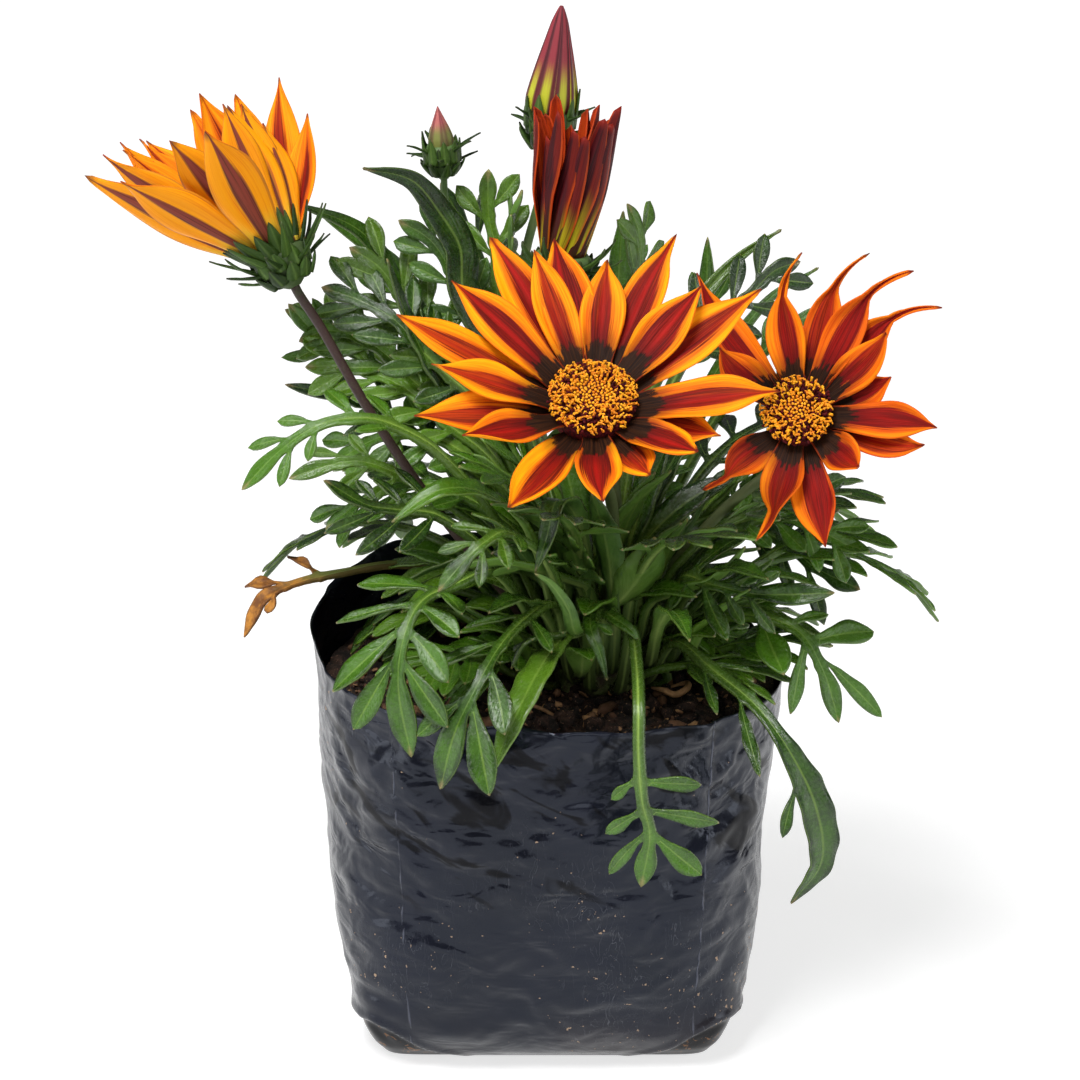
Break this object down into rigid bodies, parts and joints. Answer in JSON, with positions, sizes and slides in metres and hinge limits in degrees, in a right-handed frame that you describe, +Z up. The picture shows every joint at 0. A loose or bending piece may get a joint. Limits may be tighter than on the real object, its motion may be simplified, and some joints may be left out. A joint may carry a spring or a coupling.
{
  "type": "potted gazania",
  "caption": "Flowering gazania plant with lobed leaves, open and closing orange blooms and buds, growing in soil in a soft black film nursery bag.",
  "frame": {"origin": "middle of the bag's flat underside", "axes": "+Z up, -Y towards the side that the open blooms face, +X to the right seen from there"},
  "size_m": [0.216, 0.1651, 0.2624],
  "materials": {
    "bag_film": "creased, softly glossy polyethylene film",
    "potting_soil": "moist, crumbly potting mix with bark chips",
    "crown_green": "fresh pale green young growth",
    "leaf_green": "dark green, waxy, with a pale midrib",
    "leaf_dead": "dry, brown and papery",
    "petal_orange": "soft satin, yellow-orange with dark red stripes",
    "petal_closing": "soft satin, maroon with yellow-green and orange",
    "floret_yellow": "powdery yellow-orange",
    "stalk_green": "smooth, fleshy green",
    "stalk_purple": "smooth, fleshy, flushed dark purple",
    "bud_pink": "furled petals, pink above yellow-green"
  },
  "bodies": {
    "root": {"bag": "bag_film", "bloom_closing_petals": "petal_closing", "bloom_closing_stalk": "stalk_green", "bloom_front_florets": "floret_yellow", "bloom_front_petals": "petal_orange", "bloom_front_stalk": "stalk_green", "bloom_left_florets": "floret_yellow", "bloom_left_petals": "petal_orange", "bloom_left_stalk": "stalk_purple", "bloom_right_florets": "floret_yellow", "bloom_right_petals": "petal_orange", "bloom_right_stalk": "stalk_green", "bud_small_petals": "bud_pink", "bud_small_stalk": "stalk_green", "bud_tall_petals": "bud_pink", "bud_tall_stalk": "stalk_green", "crown": "crown_green", "leaf_antler": "leaf_green", "leaf_back_antler": "leaf_green", "leaf_back_arch": "leaf_green", "leaf_back_lobed": "leaf_green", "leaf_back_low_1": "leaf_green", "leaf_back_low_2": "leaf_green", "leaf_back_low_3": "leaf_green", "leaf_back_low_4": "leaf_green", "leaf_back_low_5": "leaf_green", "leaf_back_low_6": "leaf_green", "leaf_back_middle_1": "leaf_green", "leaf_back_middle_2": "leaf_green", "leaf_back_middle_3": "leaf_green", "leaf_back_middle_4": "leaf_green", "leaf_back_middle_5": "leaf_green", "leaf_back_right_up": "leaf_green", "leaf_behind_bloom": "leaf_green", "leaf_centre_small": "leaf_green", "leaf_dead": "leaf_dead", "leaf_front_hanging": "leaf_green", "leaf_front_left": "leaf_green", "leaf_front_middle_1": "leaf_green", "leaf_front_middle_2": "leaf_green", "leaf_front_middle_3": "leaf_green", "leaf_front_middle_4": "leaf_green", "leaf_front_second": "leaf_green", "leaf_front_strap": "leaf_green", "leaf_left_arm": "leaf_green", "leaf_left_dark": "leaf_green", "leaf_left_mid": "leaf_green", "leaf_left_oval": "leaf_green", "leaf_right_far": "leaf_green", "leaf_right_front": "leaf_green", "leaf_right_low": "leaf_green", "leaf_right_strap": "leaf_green", "leaf_strap_inner": "leaf_green", "leaf_strap_left": "leaf_green", "leaf_thin_lobed": "leaf_green", "leaf_thin_strap": "leaf_green", "leaf_upright_left": "leaf_green", "soil": "potting_soil"}
  },
  "joints": []
}
